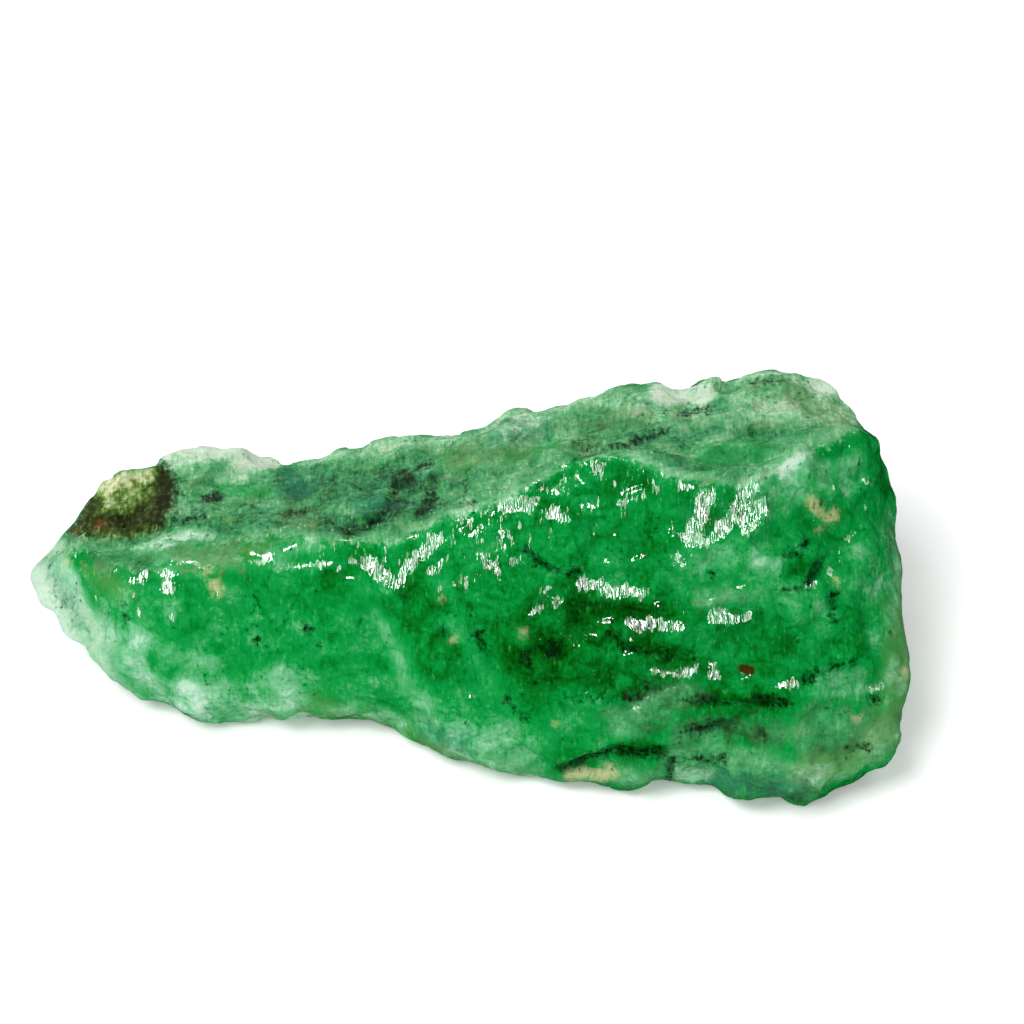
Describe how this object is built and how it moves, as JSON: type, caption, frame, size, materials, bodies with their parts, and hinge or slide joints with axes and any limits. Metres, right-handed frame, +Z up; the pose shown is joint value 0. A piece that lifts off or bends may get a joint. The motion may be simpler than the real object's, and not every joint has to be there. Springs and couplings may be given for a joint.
{
  "type": "raw fluorite",
  "caption": "Rough lump of cloudy green raw fluorite, long and wedge-shaped, with a glossy broken front, a weathered top and a flat side to rest on.",
  "frame": {"origin": "under the middle of the stone's box, on the surface that it rests on", "axes": "+X along the stone from its narrow tip to its broad broken end, -Y the glossy front, +Z up"},
  "size_m": [0.0818, 0.0368, 0.0267],
  "materials": {
    "fluorite": "cloudy green stone, glossy on its fresh breaks and matt where it is weathered, with a pale rind, dark seams and a brown iron crust near the tip"
  },
  "bodies": {
    "root": {"raw_fluorite": "fluorite"}
  },
  "joints": []
}
